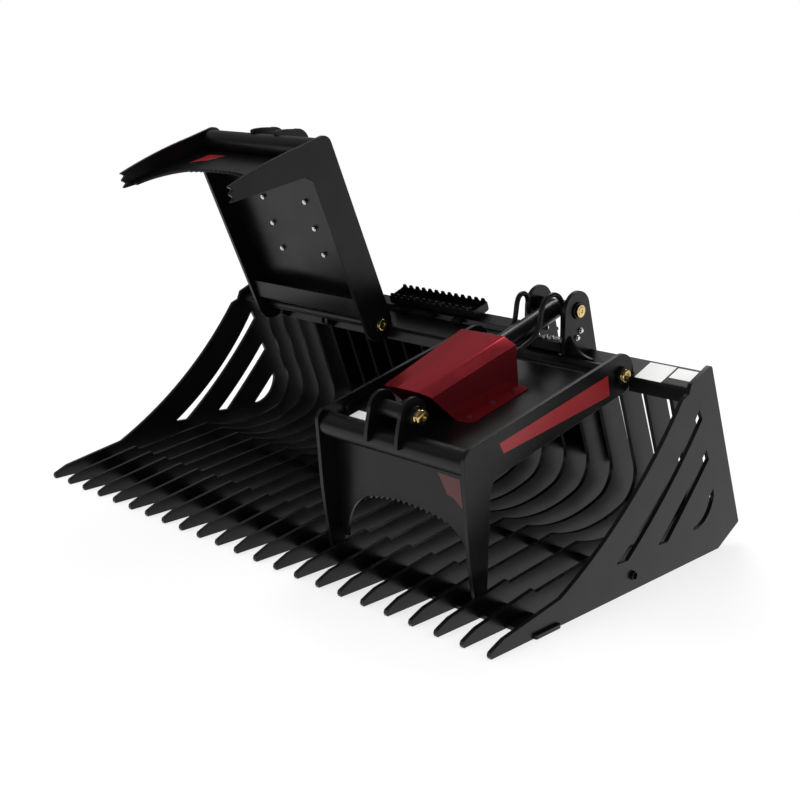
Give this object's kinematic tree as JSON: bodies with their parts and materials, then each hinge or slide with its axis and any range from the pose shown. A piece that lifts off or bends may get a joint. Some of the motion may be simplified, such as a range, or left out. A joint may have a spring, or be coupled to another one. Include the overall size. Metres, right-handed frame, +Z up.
{
  "type": "skeleton rock grapple attachment",
  "caption": "Skid steer skeleton bucket of upright steel tines between slotted end plates, with two hydraulic clamping arms hinged on its top beam.",
  "frame": {"origin": "on the ground under the middle tine, straight below the hinge axis of the two arms", "axes": "+X along the bucket's width, tine tips point to -Y, +Z up"},
  "size_m": [2.0012, 1.1618, 1.1771],
  "materials": {
    "black_coat": "satin powder coat",
    "red_coat": "metallic deep red",
    "zinc_yellow": "yellow zinc plate",
    "bright_bolt": "bright zinc plate",
    "hose_rubber": "matt rubber cover",
    "hard_chrome": "polished hard chrome"
  },
  "bodies": {
    "bucket": {"end_plate_left": "black_coat", "end_plate_right": "black_coat", "tines_1": "black_coat", "tines_2": "black_coat", "tines_3": "black_coat", "tines_4": "black_coat", "tines_5": "black_coat", "tines_6": "black_coat", "tines_7": "black_coat", "front_bar": "black_coat", "cross_pipe": "black_coat", "top_beam": "black_coat", "attach_plate": "black_coat", "attach_gussets": "black_coat", "step_tread": "black_coat", "step_ends": "black_coat", "step_brackets": "black_coat", "step_bolts": "bright_bolt", "right_hose_fittings": "bright_bolt", "right_hose_near": "hose_rubber", "right_hose_far": "hose_rubber", "left_hinge_tube": "black_coat", "left_hinge_saddles": "black_coat", "left_rear_ears": "black_coat", "left_rear_pins": "zinc_yellow", "left_valve_block": "black_coat", "right_hinge_tube": "black_coat", "right_hinge_saddles": "black_coat", "right_rear_ears": "black_coat", "right_rear_pins": "zinc_yellow", "right_valve_block": "black_coat"},
    "left_grapple": {"left_side_plate_low_x": "black_coat", "left_side_plate_high_x": "black_coat", "left_top_plate": "black_coat", "left_cross_plate": "black_coat", "left_front_tube": "black_coat", "left_arch_plate": "black_coat", "left_front_ears": "black_coat", "left_front_pin": "zinc_yellow", "left_hinge_pins": "zinc_yellow", "left_guard": "red_coat", "left_guard_bolts": "bright_bolt"},
    "left_rod": {"left_cylinder_rod": "hard_chrome"},
    "left_barrel": {"left_cylinder_barrel": "black_coat", "left_cylinder_gland": "black_coat"},
    "right_grapple": {"right_side_plate_low_x": "black_coat", "right_side_plate_high_x": "black_coat", "right_top_plate": "black_coat", "right_cross_plate": "black_coat", "right_front_tube": "black_coat", "right_arch_plate": "black_coat", "right_front_ears": "black_coat", "right_front_pin": "zinc_yellow", "right_hinge_pins": "zinc_yellow", "right_guard": "red_coat", "right_guard_bolts": "bright_bolt"},
    "right_rod": {"right_cylinder_rod": "hard_chrome"},
    "right_barrel": {"right_cylinder_barrel": "black_coat", "right_cylinder_gland": "black_coat", "right_port_fittings": "bright_bolt"}
  },
  "joints": [
    {"name": "left_grapple_hinge", "type": "hinge", "parent": "bucket", "child": "left_grapple", "pos_m": [-0.4925, 0, 0.535], "axis": [1, 0, 0], "range_deg": [0, 78.5]},
    {"name": "left_rod_pivot", "type": "hinge", "parent": "left_grapple", "child": "left_rod", "pos_m": [-0.4925, -0.16435, 1.12712], "axis": [1, 0, 0], "range_deg": [0, 0.679]},
    {"name": "left_barrel_slide", "type": "slide", "parent": "left_rod", "child": "left_barrel", "axis": [0, 0.4493, -0.8934], "range_m": [0, 0.202]},
    {"name": "right_grapple_hinge", "type": "hinge", "parent": "bucket", "child": "right_grapple", "pos_m": [0.4925, 0, 0.535], "axis": [-1, 0, 0], "range_deg": [0, 78.5], "deforming": ["right_hose_near", "right_hose_far"]},
    {"name": "right_rod_pivot", "type": "hinge", "parent": "right_grapple", "child": "right_rod", "pos_m": [0.4925, -0.613, 0.492], "axis": [-1, 0, 0], "range_deg": [0, 0.679]},
    {"name": "right_barrel_slide", "type": "slide", "parent": "right_rod", "child": "right_barrel", "axis": [0, -0.9619, -0.2734], "range_m": [0, 0.202]}
  ],
  "couplings": [
    {"joint": "left_rod_pivot", "follows": "left_grapple_hinge", "ratio": 0.008518},
    {"joint": "left_barrel_slide", "follows": "left_grapple_hinge", "m_per_rad": 0.14707},
    {"joint": "right_rod_pivot", "follows": "right_grapple_hinge", "ratio": 0.008518},
    {"joint": "right_barrel_slide", "follows": "right_grapple_hinge", "m_per_rad": 0.14707}
  ]
}
